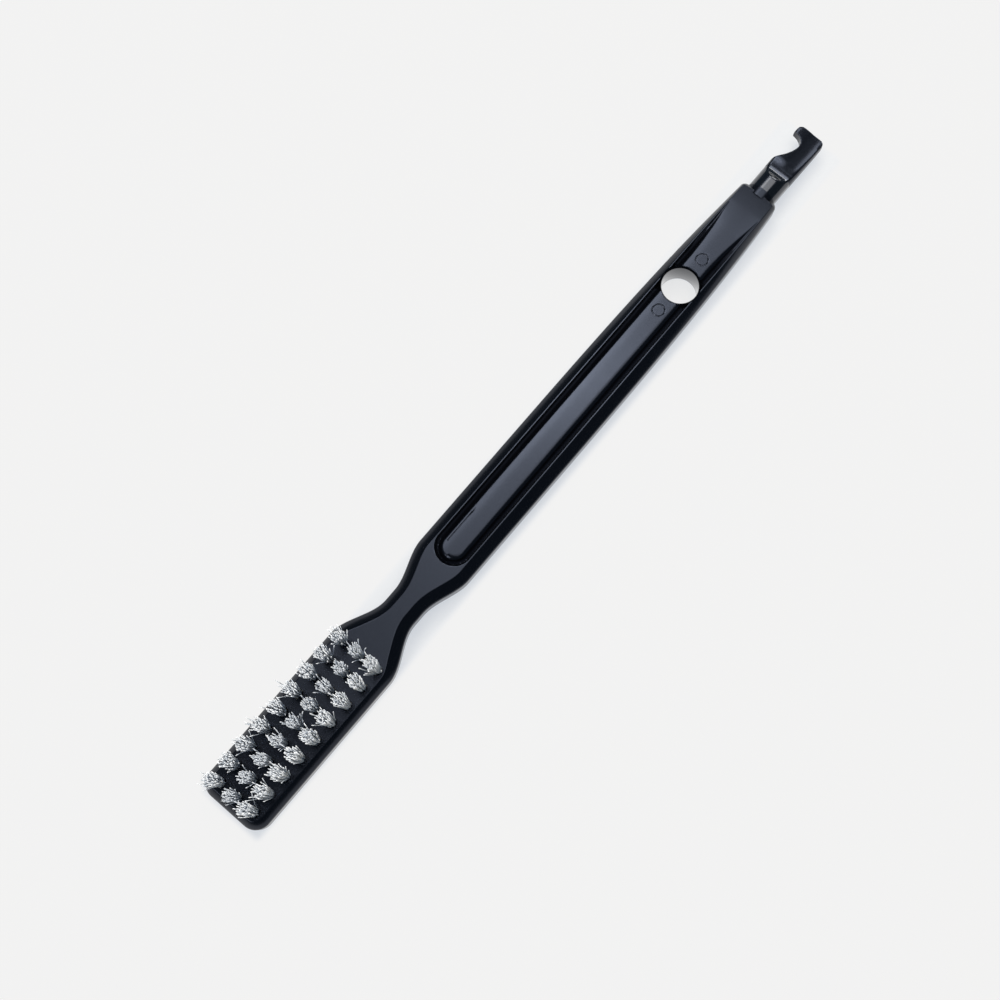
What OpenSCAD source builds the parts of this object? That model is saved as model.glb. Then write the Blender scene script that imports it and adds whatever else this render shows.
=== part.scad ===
// Crevice brush: one moulded handle with a rounded head, a narrow waist, a long grip,
// a round shank and a flat hook. Three rows of nylon tufts are set in blind holes in
// the head, each one folded round its own flat wire anchor.
// The brush lies on its back. X runs from the head to the hook, Z points up along the
// bristles, and the origin is under the middle of the brush. Lengths are millimetres.

/* [Head] */
// Length of the head, from its free end to its shoulders
head_l = 50.4; // [46:0.2:60]
// Width of the head
head_w = 18.4; // [16:0.2:22]
// Radius of the two corners at the free end, seen from above
head_corner_r = 4; // [2.5:0.25:5.5]
// Width of the bevel round the head's face
head_bevel = 1.8; // [1.2:0.1:2.2]

/* [Waist] */
// Width of the waist at its narrowest
waist_w = 8.9; // [8:0.1:11]
// Length over which the head's shoulders narrow to the waist
neck_in_l = 14.2; // [11:0.2:20]
// Length of the waist at its narrowest
waist_l = 3.3; // [1:0.1:8]
// Length over which the waist widens to the grip
neck_out_l = 13; // [10:0.5:18]

/* [Grip] */
// Length of the grip with its tail, up to where the shank starts
grip_l = 121.9; // [100:0.1:150]
// Width of the grip where it is widest
grip_w = 15.2; // [14:0.2:18]
// Width of the grip at its tail end
tail_w = 10.4; // [10:0.1:12]
// Length over which the grip narrows to its tail end
taper_l = 96.5; // [60:0.5:98]
// Distance across the two raised rims, over their crests
crest_w = 10; // [9.4:0.1:11]
// Distance across the rims at the tail end
tail_crest_w = 9; // [8.6:0.1:9.2]
// Thickness of the handle, from its back to its face
body_h = 8.4; // [8:0.1:10]
// Height of the front bevel
front_bevel_h = 2.4; // [2:0.1:2.8]
// Height of the bevel round the back
back_bevel_h = 1.6; // [1:0.1:2]
// Width of the bevel round the back
back_bevel = 1.2; // [0.6:0.1:1.6]
// Length of the slope from the tail's face down to its end
end_bevel = 1.5; // [1:0.1:1.6]

/* [Recess and panel] */
// Width of each rim, from its crest to the groove
rim_w = 0.25; // [0.2:0.05:0.5]
// Depth of the groove round the panel
groove_depth = 1.7; // [1:0.1:2.2]
// Width of the raised panel inside the groove
panel_w = 6; // [5:0.1:6.6]
// Distance from the start of the grip to the middle of the groove's round end
recess_x = 3.7; // [3:0.1:8]
// Distance from the groove's points to the tail end
groove_end = 6.9; // [5:0.1:12]
// Length over which the panel spreads out to the groove's points
panel_flare_l = 9; // [6:0.5:14]
// Radius of the panel's crown across the grip
crown_r = 15; // [12:0.5:30]
// Depth of the groove on the back of the grip
back_groove_depth = 1.4; // [0.8:0.1:2]
// Diameter of the two ejector pin marks on the panel
ejector_d = 3.1; // [2:0.1:4]
// Distance of each ejector pin mark from the middle of the hanging hole
ejector_x = 8.55; // [8:0.05:12]
// Length of the fine slit at the panel's round end
slit_l = 9.4; // [4:0.1:20]

/* [Hanging hole] */
// Diameter of the hanging hole
hole_d = 9.2; // [6:0.1:9.4]
// Distance from the middle of the hole to the tail end
hole_x = 32.7; // [28:0.1:50]
// Width of the slope round each mouth of the hole
hole_bevel = 0.4; // [0.2:0.05:0.5]

/* [Shank and hook] */
// Diameter of the round shank
shank_d = 8.2; // [7.6:0.1:8.3]
// Length of the shank, from the tail end to the start of the flat blade
shank_l = 8.4; // [7.5:0.1:20]
// Length of the flat blade with the hook
blade_l = 13.2; // [12.6:0.1:16]
// Length of the hollow slope from the shank down to the blade
scoop_l = 4; // [3:0.1:5]
// Height of the blade's face above the shank's axis, at the shank
blade_top = 2.3; // [1.8:0.1:2.6]
// Depth of the blade's underside below the shank's axis, at the shank
blade_under = 1.7; // [1.2:0.1:2.2]
// Thickness of the blade at its end
blade_tip_t = 2; // [1.6:0.1:2.6]
// Width of the hook's point, along the brush
hook_point_l = 2.3; // [2:0.1:3.2]
// Length of the hook's throat, along the brush
throat_l = 9.5; // [9:0.1:10]
// Width of the blade that is left behind the throat
throat_back_w = 4.7; // [3.8:0.1:5.2]
// Radius of the blade's two outer corners
blade_corner_r = 1.9; // [1:0.1:2]

/* [Bristles] */
// Distance from the head's edges to the middle of the outer tufts
tuft_margin = 4; // [3.6:0.1:4.6]
// Height of the bristles above the head's face
trim_h = 12; // [8:0.5:16]
// Diameter of the blind hole for each tuft
tuft_hole_d = 2.5; // [2.3:0.05:2.7]
// Depth of the blind hole for each tuft
tuft_hole_depth = 5.6; // [4.5:0.1:6]
// Number of strands in each tuft
strands = 17; // [12:1:18]
// Thickness of a strand
strand_d = 0.3; // [0.24:0.02:0.34]
// Radius of a tuft at its trimmed top
flare_r = 2; // [1.4:0.1:2.1]
// Distance that the tips of row a lean outwards
lean_a = 0.2; // [0:0.1:0.4]
// Distance that the tips of row c lean towards the middle row
lean_c = 0.5; // [0:0.1:0.6]

/* [Anchors] */
// Length of a flat wire anchor, across its hole
anchor_l = 3; // [2.9:0.05:3.4]
// Thickness of a flat wire anchor
anchor_t = 0.5; // [0.3:0.05:0.6]
// Height of a flat wire anchor
anchor_h = 1.6; // [1.2:0.1:2]
// Clearance round the tufts and the anchors
seat_gap = 0.04; // [0.02:0.01:0.08]

/* [Hidden] */

// Stations along the brush, from the head's free end
neck_lead = 4.4;
neck_x0 = head_l - neck_lead;
waist_x0 = neck_x0 + neck_in_l;
waist_x1 = waist_x0 + waist_l;
grip_x0 = waist_x1 + neck_out_l;
tail_x1 = grip_x0 + grip_l;
blade_x0 = tail_x1 + shank_l;
bevel_ease_lead = 2;
bevel_ease_l = 8;
outline_lead = 3;
outline_lag = 2;
rim_step = 3;
overall_l = blade_x0 + blade_l;
taper_x0 = tail_x1 - taper_l;
taper_power = 3.4;
crest_taper_l = 28;

// Levels above the surface that the brush lies on
edge_z = body_h - front_bevel_h;
axis_z = body_h / 2;
crown_drop = 0.05;
crown_z = body_h - crown_drop;
groove_z = body_h - groove_depth;
side_draft = 0.12;
skin_over = 0.2;

// Middle of the groove's round end and of the hanging hole
recess_x0 = grip_x0 + recess_x;
hole_x0 = tail_x1 - hole_x;
groove_x1 = tail_x1 - groove_end;
panel_x1 = groove_x1 - panel_flare_l;
recess_r = crest_w / 2 - rim_w;
panel_r = panel_w / 2;
groove_tip_w = 0.12;
collar_r = hole_d / 2 + hole_bevel;
ejector_line = 0.2;
ejector_depth = 0.12;
slit_w = 0.3;
slit_depth = 0.3;
slit_y = 2.2;

// Height of the blade's middle above the shank's axis, at its end
blade_tip_rise = 0.35;

// The throat's curve: where it starts, where it is lowest and how far its curves pull
throat_over = 0.2;
throat_lead = [1.5, 0.6];
throat_low = 3.04;
slope_pull = [1.9, 2];
slope_level = 2.4;
point_level = 1.6;
point_pull = [0.45, 2.4];

// Tail end, seen from above
tail_corner_r = 1.7;
tail_bulge = 0.3;

// Layout of the tufts, whose rows are a, b and c and whose columns are 1 to 9
tuft_columns = 9;
tuft_rows = 3;
column_pitch = (head_l - 2 * tuft_margin) / (tuft_columns - 1);
row_pitch = (head_w - 2 * tuft_margin) / (tuft_rows - 1);
tuft_floor_z = body_h - tuft_hole_depth;
plug_r = tuft_hole_d / 2 - seat_gap;
plug_z0 = tuft_floor_z + seat_gap;
plug_drop = 0.2;
plug_z1 = body_h - plug_drop;
anchor_rise = 0.9;
anchor_z0 = plug_z0 + anchor_rise;
strand_sink = 0.4;
strand_inset = 0.06;
strand_wobble = 0.12;
bend_level = 0.5;
bend_share = 0.4;
golden_angle = 137.508;
nylon = "#dfe4e8";
black_plastic = "#1b1c20";
wire_grey = "#b9b6ad";
cut = 1;

// Curves

// Eases from 0 to 1 with level ends
function ease(u) =
    let (t = min(max(u, 0), 1))
    t * t * (3 - 2 * t);

function mix(a, b, u) = a + (b - a) * u;

// Point on a cubic curve with end points a, d and handles b, c
function cubic(a, b, c, d, u) =
    pow(1 - u, 3) * a + 3 * pow(1 - u, 2) * u * b + 3 * (1 - u) * u * u * c + pow(u, 3) * d;

// Half the handle's width at its widest level
function half_w(x) =
    let (
        narrowed = (head_w - waist_w) / 2 * ease((x - neck_x0) / neck_in_l),
        widened = (grip_w - waist_w) / 2 * ease((x - waist_x1) / neck_out_l),
        tapered = (grip_w - tail_w) / 2 * pow(max(x - taper_x0, 0) / taper_l, taper_power)
    )
    head_w / 2 - narrowed + widened - tapered;

// Half the distance across the rims' crests
function half_crest(x) =
    let (u = max(x - (tail_x1 - crest_taper_l), 0) / crest_taper_l)
    mix(crest_w, tail_crest_w, u * u) / 2;

// Width of the front bevel, square to the outline
function front_inset(x) =
    x < grip_x0
        ? mix(head_bevel, (grip_w - crest_w) / 2, ease((x - neck_x0 + bevel_ease_lead) / bevel_ease_l))
        : half_w(x) - half_crest(x);

// Outline of the handle on its +Y side, as entries of point, inward normal and front bevel
function head_corner() = [
    for (a = [0 : 15 : 75])
        [
            [head_corner_r * (1 - cos(a)), head_w / 2 - head_corner_r * (1 - sin(a))],
            [cos(a), -sin(a)],
            head_bevel
        ]
];

function side_entry(x) =
    let (
        slope = (half_w(x + 0.05) - half_w(x - 0.05)) / 0.1,
        size = sqrt(1 + slope * slope)
    )
    [[x, half_w(x)], [slope / size, -1 / size], front_inset(x)];

function side_run(x0, x1, steps) = [for (i = [0 : steps - 1]) side_entry(mix(x0, x1, i / steps))];

function tail_corner() =
    let (
        mid_x = tail_x1 - tail_corner_r,
        mid_y = half_w(mid_x) - tail_corner_r
    )
    [
        for (a = [0 : 15 : 90])
            [
                [mid_x + tail_corner_r * sin(a), mid_y + tail_corner_r * cos(a)],
                [-sin(a), -cos(a)],
                mix(half_w(mid_x) - half_crest(mid_x), end_bevel, a / 90)
            ]
    ];

function tail_end() =
    let (end_y = half_w(tail_x1 - tail_corner_r) - tail_corner_r)
    [
        for (u = [0.3, 0.6, 0.9])
            [[tail_x1 + tail_bulge * (1 - pow(1 - u, 2)), end_y * (1 - u)], [-1, 0], end_bevel]
    ];

half_outline = concat(
    head_corner(),
    side_run(head_corner_r, neck_x0 - outline_lead, 2),
    side_run(neck_x0 - outline_lead, grip_x0 + outline_lag, 26),
    side_run(grip_x0 + outline_lag, tail_x1 - tail_corner_r, 16),
    tail_corner(),
    tail_end()
);

// The other side is the mirror image
function mirrored(entry) = [[entry[0][0], -entry[0][1]], [entry[1][0], -entry[1][1]], entry[2]];

outline = concat(half_outline, [for (i = [len(half_outline) - 1 : -1 : 0]) mirrored(half_outline[i])]);

// Each loop of the body's skin is the outline moved inwards, at one level
function loop_at(z, insets) = [
    for (i = [0 : len(outline) - 1])
        let (p = outline[i][0] + insets[i] * outline[i][1])
        [p[0], p[1], z]
];

// The skin runs a little past the back and the face, which are then cut flat
module body() {
    count = len(outline);
    side_slope = (back_bevel - side_draft) / back_bevel_h;
    back = [for (entry = outline) back_bevel + side_slope * skin_over];
    side = [for (entry = outline) side_draft];
    edge = [for (entry = outline) 0];
    front = [for (entry = outline) entry[2] * (1 + skin_over / front_bevel_h)];
    skin = concat(
        loop_at(-skin_over, back),
        loop_at(back_bevel_h, side),
        loop_at(edge_z, edge),
        loop_at(body_h + skin_over, front)
    );
    walls = [
        for (level = [0 : 2], i = [0 : count - 1])
            let (
                a = level * count + i,
                b = level * count + (i + 1) % count
            )
            each [[a, b, a + count], [b, b + count, a + count]]
    ];
    back_cap = [for (i = [count - 1 : -1 : 0]) i];
    face_cap = [for (i = [0 : count - 1]) 3 * count + i];
    intersection() {
        polyhedron(points = skin, faces = concat(walls, [back_cap, face_cap]));
        translate([-cut, -head_w, 0]) cube([overall_l, 2 * head_w, body_h]);
    }
}

// Edge of the recess on its +Y side, from its round end to the groove's point
function recess_edge() = concat(
    [for (a = [0 : 10 : 90]) [recess_x0 - recess_r * cos(a), recess_r * sin(a)]],
    [for (x = [tail_x1 - crest_taper_l : rim_step : groove_x1]) [x, half_crest(x) - rim_w]],
    [[groove_x1, half_crest(groove_x1) - rim_w]]
);

// Edge of the panel on its +Y side, from the groove's point back to the round end
function panel_edge() = concat(
    [
        for (u = [1 : -0.125 : 0])
            [
                mix(panel_x1, groove_x1, u),
                mix(panel_r, half_crest(groove_x1) - rim_w - groove_tip_w, ease(u))
            ]
    ],
    [for (a = [90 : -10 : 0]) [recess_x0 - panel_r * cos(a), panel_r * sin(a)]]
);

function flip_y(points) = [for (p = points) [p[0], -p[1]]];

// The groove, a band round the panel that ends in two points at the tail
module groove_shape() {
    difference() {
        union() {
            polygon(concat(recess_edge(), panel_edge()));
            polygon(flip_y(concat(recess_edge(), panel_edge())));
        }
        translate([hole_x0, 0]) circle(r = collar_r, $fn = 64);
    }
}

// The crowned surface: the panel, the collar round the hole and the tail's end
module crown_shape() {
    last = tail_x1 + tail_bulge + cut;
    side = concat([[last, 0], [last, crest_w], [groove_x1, crest_w]], panel_edge());
    polygon(side);
    polygon(flip_y(side));
    intersection() {
        translate([hole_x0, 0]) circle(r = collar_r, $fn = 64);
        translate([hole_x0 - collar_r, -recess_r]) square([2 * collar_r, 2 * recess_r]);
    }
}

// What stands above the crown is taken away
module crown_cut() {
    difference() {
        translate([0, 0, groove_z]) linear_extrude(groove_depth + cut) crown_shape();
        translate([0, 0, crown_z - crown_r])
            rotate([0, 90, 0])
                cylinder(r = crown_r, h = overall_l, $fn = 128);
    }
}

// Bore with a slope round each mouth
module hole_cut() {
    mouth_h = hole_bevel * 2;
    translate([hole_x0, 0, -cut]) cylinder(d = hole_d, h = body_h + 2 * cut, $fn = 64);
    translate([hole_x0, 0, crown_z - mouth_h])
        cylinder(r1 = hole_d / 2, r2 = hole_d / 2 + 2 * hole_bevel, h = 2 * mouth_h, $fn = 64);
    translate([hole_x0, 0, -mouth_h])
        cylinder(r1 = hole_d / 2 + 2 * hole_bevel, r2 = hole_d / 2, h = 2 * mouth_h, $fn = 64);
}

// Fine ring left by an ejector pin
module ejector_ring(x) {
    translate([x, 0, crown_z - ejector_depth]) {
        difference() {
            cylinder(d = ejector_d, h = cut, $fn = 48);
            translate([0, 0, -cut]) cylinder(d = ejector_d - 2 * ejector_line, h = 3 * cut, $fn = 48);
        }
    }
}

module slit() {
    translate([recess_x0, slit_y - slit_w / 2, crown_z - slit_y * slit_y / (2 * crown_r) - slit_depth])
        cube([slit_l, slit_w, slit_depth + cut]);
}

// Pocket that the ends of an anchor bite into, and the blind hole above it
module tuft_seat() {
    translate([0, 0, tuft_floor_z]) cylinder(d = tuft_hole_d, h = tuft_hole_depth + cut, $fn = 32);
    translate([-anchor_l / 2 - seat_gap, -anchor_t / 2 - seat_gap, anchor_z0 - seat_gap])
        cube([anchor_l + 2 * seat_gap, anchor_t + 2 * seat_gap, anchor_h + 2 * seat_gap]);
}

function tuft_x(column) = tuft_margin + (column - 1) * column_pitch;

function tuft_y(row) = (1 - row) * row_pitch;

module at_tuft(row, column) {
    translate([tuft_x(column), tuft_y(row), 0]) children();
}

// The shank's rod, cut to a scooped and tapered blade at its end
module blade_face_cut() {
    scoop_drop = shank_d / 2 - blade_top;
    scoop_r = (scoop_l * scoop_l + scoop_drop * scoop_drop) / (2 * scoop_drop);
    fall = atan((blade_top - blade_tip_t / 2 - blade_tip_rise) / blade_l);
    translate([blade_x0, -shank_d, axis_z + blade_top + scoop_r])
        rotate([-90, 0, 0])
            cylinder(r = scoop_r, h = 2 * shank_d, $fn = 96);
    translate([blade_x0, -shank_d, axis_z + blade_top])
        rotate([0, fall, 0])
            cube([2 * blade_l, 2 * shank_d, shank_d]);
}

module blade_under_cut() {
    scoop_drop = shank_d / 2 - blade_under;
    scoop_r = (scoop_l * scoop_l + scoop_drop * scoop_drop) / (2 * scoop_drop);
    rise = atan((blade_under - blade_tip_t / 2 + blade_tip_rise) / blade_l);
    translate([blade_x0, -shank_d, axis_z - blade_under - scoop_r])
        rotate([-90, 0, 0])
            cylinder(r = scoop_r, h = 2 * shank_d, $fn = 96);
    translate([blade_x0, -shank_d, axis_z - blade_under])
        rotate([0, -rise, 0])
            translate([0, 0, -shank_d])
                cube([2 * blade_l, 2 * shank_d, shank_d]);
}

// The throat opens on the +Y side, between a long slope and the hook's point
module throat_shape() {
    reach = shank_d;
    floor_y = throat_back_w - shank_d / 2;
    point_x = overall_l - hook_point_l;
    start = [point_x - throat_l, shank_d / 2 - throat_over];
    low = [point_x - throat_low, floor_y];
    finish = [point_x, shank_d / 2 + throat_over];
    slope = [
        for (u = [0 : 0.1 : 1])
            cubic(start, start + [slope_pull[0], -slope_pull[1]], low - [slope_level, 0], low, u)
    ];
    rise = [
        for (u = [0.125 : 0.125 : 1])
            cubic(low, low + [point_level, 0], finish - point_pull, finish, u)
    ];
    lead = [start[0] - throat_lead[0], start[1] + throat_lead[1]];
    polygon(concat([[lead[0], reach]], [lead], slope, rise, [[finish[0], reach]]));
}

// The blade seen from above, with its two outer corners rounded
module blade_shape() {
    r = blade_corner_r;
    end_x = overall_l - r;
    half = shank_d / 2 - r;
    translate([tail_x1 - 2 * end_bevel, -shank_d / 2]) square([end_x - tail_x1 + 2 * end_bevel, shank_d]);
    translate([end_x - cut, -half]) square([r + cut, 2 * half]);
    for (side = [-1, 1]) {
        translate([end_x, side * half]) circle(r = r, $fn = 48);
    }
}

module shank_and_hook() {
    difference() {
        translate([tail_x1 - 2 * end_bevel, 0, axis_z])
            rotate([0, 90, 0])
                cylinder(d = shank_d, h = overall_l - tail_x1 + 2 * end_bevel, $fn = 96);
        blade_face_cut();
        blade_under_cut();
        linear_extrude(body_h + cut) throat_shape();
        linear_extrude(body_h + cut) {
            difference() {
                translate([overall_l - 2 * blade_corner_r, -shank_d]) square([3 * blade_corner_r, 2 * shank_d]);
                blade_shape();
            }
        }
    }
}

// Sub-parts

module handle() {
    color(black_plastic)
    translate([-overall_l / 2, 0, 0]) {
        difference() {
            union() {
                body();
                shank_and_hook();
            }
            translate([0, 0, groove_z]) linear_extrude(groove_depth + cut) groove_shape();
            translate([0, 0, -cut]) linear_extrude(back_groove_depth + cut) groove_shape();
            crown_cut();
            hole_cut();
            ejector_ring(hole_x0 - ejector_x);
            ejector_ring(hole_x0 + ejector_x);
            slit();
            for (row = [0 : tuft_rows - 1], column = [1 : tuft_columns]) {
                at_tuft(row, column) tuft_seat();
            }
        }
    }
}

module tuft_anchors() {
    color(wire_grey)
    translate([-overall_l / 2, 0, 0]) {
        for (row = [0 : tuft_rows - 1], column = [1 : tuft_columns]) {
            at_tuft(row, column)
                translate([-anchor_l / 2, -anchor_t / 2, anchor_z0])
                    cube([anchor_l, anchor_t, anchor_h]);
        }
    }
}

// A strand follows three points and has three sides
module strand(points) {
    r = strand_d / 2;
    ring = [for (p = points, a = [0 : 120 : 240]) p + [r * cos(a), r * sin(a), 0]];
    sides = [
        for (level = [0 : len(points) - 2], i = [0 : 2])
            let (
                a = 3 * level + i,
                b = 3 * level + (i + 1) % 3
            )
            each [[a, a + 3, b], [b, a + 3, b + 3]]
    ];
    last = 3 * (len(points) - 1);
    polyhedron(points = ring, faces = concat([[0, 1, 2]], sides, [[last, last + 2, last + 1]]));
}

// The tuft's folded root fills its hole, and the strands spread from it without crossing
module tuft(row, column) {
    seed = 9 * row + column;
    wobble = rands(-strand_wobble, strand_wobble, 3 * strands, seed);
    root_r = plug_r - strand_d / 2 - strand_inset;
    leaning = [lean_a, 0, lean_c][row];
    color(nylon)
    translate([-overall_l / 2, 0, 0])
    at_tuft(row, column) {
        difference() {
            union() {
                translate([0, 0, plug_z0]) cylinder(r = plug_r, h = plug_z1 - plug_z0, $fn = 32);
                for (i = [0 : strands - 1]) {
                    spread = sqrt((i + 0.5) / strands);
                    angle = i * golden_angle + 40 * seed;
                    out = [cos(angle), sin(angle), 0];
                    tip_r = flare_r * spread + wobble[3 * i];
                    mid_r = mix(root_r * spread, tip_r, bend_share);
                    top = body_h + trim_h + 2 * wobble[3 * i + 1];
                    strand([
                        out * root_r * spread + [0, 0, plug_z1 - strand_sink],
                        out * mid_r + [0, leaning * bend_share, mix(plug_z1, top, bend_level)],
                        out * tip_r + [wobble[3 * i + 2], leaning, top]
                    ]);
                }
            }
            translate([-plug_r - cut, -anchor_t / 2 - seat_gap, anchor_z0 - seat_gap])
                cube([2 * (plug_r + cut), anchor_t + 2 * seat_gap, anchor_h + 2 * seat_gap]);
        }
    }
}

handle();
tuft_anchors();
tuft(0, 1);  // tuft_a1
tuft(0, 2);  // tuft_a2
tuft(0, 3);  // tuft_a3
tuft(0, 4);  // tuft_a4
tuft(0, 5);  // tuft_a5
tuft(0, 6);  // tuft_a6
tuft(0, 7);  // tuft_a7
tuft(0, 8);  // tuft_a8
tuft(0, 9);  // tuft_a9
tuft(1, 1);  // tuft_b1
tuft(1, 2);  // tuft_b2
tuft(1, 3);  // tuft_b3
tuft(1, 4);  // tuft_b4
tuft(1, 5);  // tuft_b5
tuft(1, 6);  // tuft_b6
tuft(1, 7);  // tuft_b7
tuft(1, 8);  // tuft_b8
tuft(1, 9);  // tuft_b9
tuft(2, 1);  // tuft_c1
tuft(2, 2);  // tuft_c2
tuft(2, 3);  // tuft_c3
tuft(2, 4);  // tuft_c4
tuft(2, 5);  // tuft_c5
tuft(2, 6);  // tuft_c6
tuft(2, 7);  // tuft_c7
tuft(2, 8);  // tuft_c8
tuft(2, 9);  // tuft_c9
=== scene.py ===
"""Looks of the crevice brush: its moulded handle, its nylon tufts and the studio round them."""

import logging
import math
from dataclasses import dataclass, field
from enum import Enum
from typing import Any, Iterable, Sequence

import bmesh
import bpy
import numpy as np
from mathutils import Matrix, Vector


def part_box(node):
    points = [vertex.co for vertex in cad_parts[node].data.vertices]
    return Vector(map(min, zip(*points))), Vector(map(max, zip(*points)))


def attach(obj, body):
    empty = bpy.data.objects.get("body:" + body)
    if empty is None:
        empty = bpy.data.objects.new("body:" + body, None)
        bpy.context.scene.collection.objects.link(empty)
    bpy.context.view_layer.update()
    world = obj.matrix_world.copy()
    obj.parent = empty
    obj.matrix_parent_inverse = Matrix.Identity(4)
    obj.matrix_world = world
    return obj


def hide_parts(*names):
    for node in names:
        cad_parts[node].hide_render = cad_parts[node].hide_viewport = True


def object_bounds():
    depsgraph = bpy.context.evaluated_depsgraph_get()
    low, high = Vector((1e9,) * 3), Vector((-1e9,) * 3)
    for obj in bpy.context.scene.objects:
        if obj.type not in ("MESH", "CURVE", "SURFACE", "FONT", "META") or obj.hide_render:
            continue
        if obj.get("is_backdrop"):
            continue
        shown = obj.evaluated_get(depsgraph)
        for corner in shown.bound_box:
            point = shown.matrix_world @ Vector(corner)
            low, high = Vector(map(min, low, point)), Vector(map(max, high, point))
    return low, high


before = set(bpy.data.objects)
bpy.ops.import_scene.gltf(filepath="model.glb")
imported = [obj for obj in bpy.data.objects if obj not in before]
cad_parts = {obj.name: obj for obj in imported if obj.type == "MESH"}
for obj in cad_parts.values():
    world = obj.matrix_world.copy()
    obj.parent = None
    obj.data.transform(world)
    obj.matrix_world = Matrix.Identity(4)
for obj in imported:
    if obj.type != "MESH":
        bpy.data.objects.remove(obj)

LOG = logging.getLogger("crevice_brush")
MM = 0.001  # metres in a millimetre
WELD = 0.002  # millimetres under which a skin's points become one
Array = np.ndarray
Pair = tuple[float, float]
Triple = tuple[float, float, float]
Colour = tuple[float, float, float, float]


class Slot(Enum):
    """Names of the material slots."""

    PLASTIC = "black_plastic"
    NYLON = "nylon"
    WIRE = "anchor_wire"


class Fit(Enum):
    """What a boolean step does with its tool."""

    JOIN = "UNION"
    CUT = "DIFFERENCE"


# Curves and meshes


def ease(u: Array) -> Array:
    """Smooth step: 0 below 0, 1 above 1, and 3t^2 - 2t^3 between, which has level ends."""
    t = np.clip(u, 0.0, 1.0)
    return t * t * (3.0 - 2.0 * t)


def mix(a: Any, b: Any, u: Any) -> Any:
    """Straight blend from a at u = 0 to b at u = 1."""
    return a + (b - a) * u


def spread(knots: Sequence[float], steps: Sequence[int]) -> Array:
    """Stations that cut each stretch between two knots into its own number of equal steps.

    Args:
        knots: ends of the stretches, one more than there are steps.
        steps: number of equal steps in each stretch.

    Returns:
        All stations in order, each knot once.
    """
    parts = [np.linspace(a, b, n, endpoint=False) for a, b, n in zip(knots, knots[1:], steps)]
    return np.concatenate(parts + [np.array(knots[-1:])])


def grid_quads(rows: int, columns: int, ring_rows: bool = False,
               ring_columns: bool = False) -> Array:
    """Quads of a grid of points that is stored row by row.

    Args:
        rows: number of rows of points.
        columns: number of points in a row.
        ring_rows: whether the last row joins the first.
        ring_columns: whether the last column joins the first.

    Returns:
        Point numbers, four to a quad.
    """
    i = np.arange(rows if ring_rows else rows - 1)[:, None]
    j = np.arange(columns if ring_columns else columns - 1)[None, :]
    i2, j2 = (i + 1) % rows, (j + 1) % columns
    quads = np.stack([i * columns + j, i2 * columns + j, i2 * columns + j2, i * columns + j2], -1)
    return quads.reshape(-1, 4)


def new_piece(name: str, points: Array, faces: Iterable,
              merge: float = 0.0) -> bpy.types.Object:
    """Makes a mesh piece from points in millimetres of the row frame.

    Args:
        name: name of the piece.
        points: points, three numbers each, in millimetres.
        faces: point numbers of each face.
        merge: distance in millimetres under which points become one, or 0.

    Returns:
        The piece, which lies at the origin with its place in its mesh.
    """
    mesh = bpy.data.meshes.new(name)
    places = (np.asarray(points).reshape(-1, 3) * MM).tolist()
    mesh.from_pydata(places, [], [list(face) for face in faces])
    if merge > 0.0:
        weld(mesh, merge)
    mesh.validate()
    piece = bpy.data.objects.new(name, mesh)
    bpy.context.scene.collection.objects.link(piece)
    return piece


def weld(mesh: bpy.types.Mesh, distance: float) -> None:
    """Joins points that lie close together, and turns all faces outwards.

    Args:
        mesh: the mesh that is changed.
        distance: distance in millimetres under which points become one.
    """
    work = bmesh.new()
    work.from_mesh(mesh)
    bmesh.ops.remove_doubles(work, verts=work.verts, dist=distance * MM)
    bmesh.ops.dissolve_degenerate(work, edges=work.edges, dist=distance * MM)
    bmesh.ops.recalc_face_normals(work, faces=work.faces)
    work.to_mesh(mesh)
    work.free()


def combine(piece: bpy.types.Object, tool: bpy.types.Object, fit: Fit) -> None:
    """Joins or cuts a piece with another closed piece, which is then removed.

    Args:
        piece: the piece that is changed.
        tool: the piece that is joined to it or taken out of it.
        fit: whether the tool is joined or cut.
    """
    step = piece.modifiers.new("combine", "BOOLEAN")
    step.object = tool
    step.operation = fit.value
    step.solver = "EXACT"
    bpy.context.view_layer.update()
    graph = bpy.context.evaluated_depsgraph_get()
    result = bpy.data.meshes.new_from_object(piece.evaluated_get(graph))
    piece.modifiers.clear()
    old = piece.data
    piece.data = result
    bpy.data.meshes.remove(old)
    bpy.data.objects.remove(tool)


def lathe(name: str, profile: Sequence[Pair], centres: Sequence[Pair],
          sides: int) -> bpy.types.Object:
    """Turns a profile round a vertical axis at each centre.

    Each point is centre + r (cos a, sin a) at its height, and both ends are closed.

    Args:
        name: name of the piece.
        profile: radius and height of each ring, from the bottom up.
        centres: x and y of each axis.
        sides: number of sides.

    Returns:
        One piece that holds all the turned solids.
    """
    angles = np.linspace(0.0, 2.0 * np.pi, sides, endpoint=False)
    r, z = np.array(profile).T
    ring = np.stack([np.outer(r, np.cos(angles)), np.outer(r, np.sin(angles)),
                     np.repeat(z[:, None], sides, 1)], -1).reshape(-1, 3)
    walls = grid_quads(len(profile), sides, ring_columns=True)[:, ::-1]
    points, faces = [], []
    bottom, top = np.arange(sides)[::-1], len(ring) - sides + np.arange(sides)
    for k, (x, y) in enumerate(centres):
        start = k * len(ring)
        points.append(ring + np.array([x, y, 0.0]))
        faces += [*(walls + start).tolist(), (bottom + start).tolist(), (top + start).tolist()]
    return new_piece(name, np.concatenate(points), faces)


def smooth(piece: bpy.types.Object, sharp_angle: float) -> None:
    """Shades a piece smoothly, apart from edges over an angle in degrees."""
    piece.data.shade_smooth()
    piece.data.set_sharp_from_angle(angle=math.radians(sharp_angle))


# Shader maths


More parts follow.
